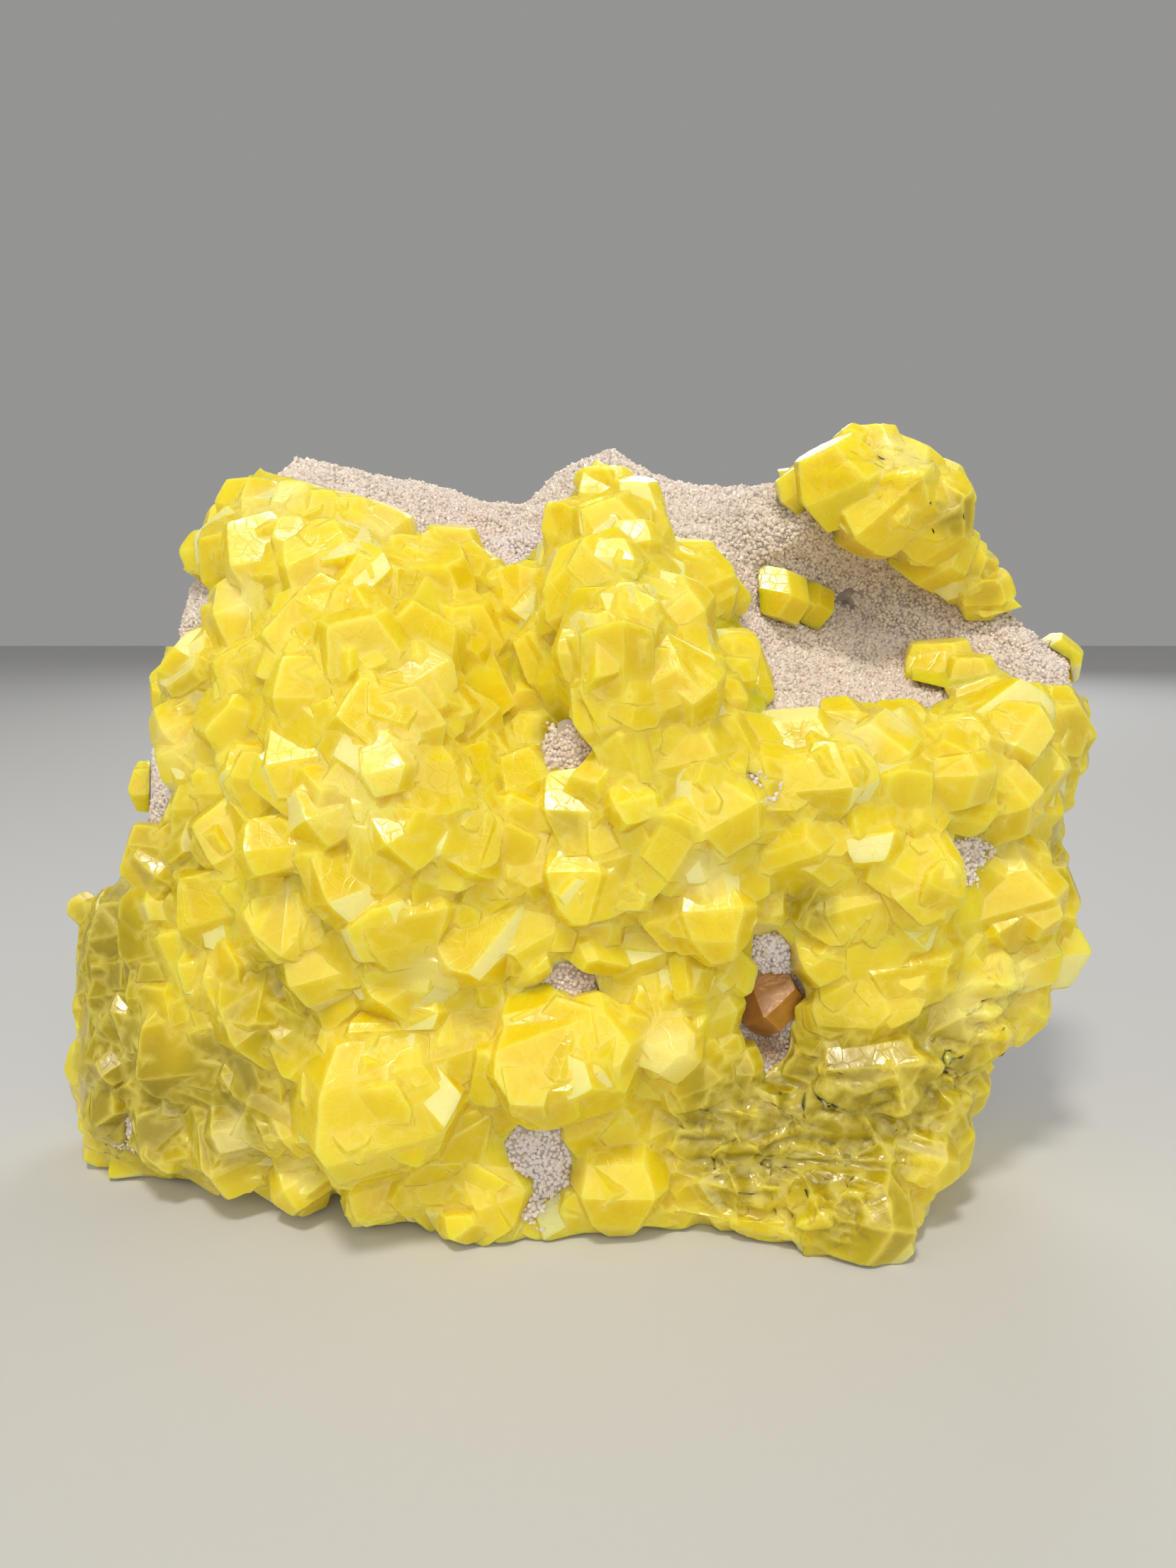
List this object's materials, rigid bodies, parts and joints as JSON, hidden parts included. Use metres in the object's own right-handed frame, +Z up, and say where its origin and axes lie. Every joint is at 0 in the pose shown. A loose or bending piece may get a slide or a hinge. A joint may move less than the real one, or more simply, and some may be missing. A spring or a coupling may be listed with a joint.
{
  "type": "native sulfur crystal specimen",
  "caption": "Hand-sized mineral specimen: crusts of grown-together sulfur crystals on a lump of grey, druse-covered matrix that rests on a flat base.",
  "frame": {"origin": "centre of the bounding box, on the floor under the specimen", "axes": "+X to the right along the specimen's width, +Y from its crystal face to its rear, +Z up"},
  "size_m": [0.1344, 0.0698, 0.0921],
  "materials": {
    "sulfur": "resinous, bright facets",
    "druse_and_rock": "sugary, matt",
    "brown_calcite": "glassy, honey brown"
  },
  "bodies": {
    "root": {"matrix": "druse_and_rock", "sulfur_main_cluster": "sulfur", "sulfur_crest": "sulfur", "sulfur_lone_crystal": "sulfur", "sulfur_right_edge_crystal": "sulfur", "sulfur_left_knob": "sulfur", "calcite_crystal": "brown_calcite"}
  },
  "joints": []
}
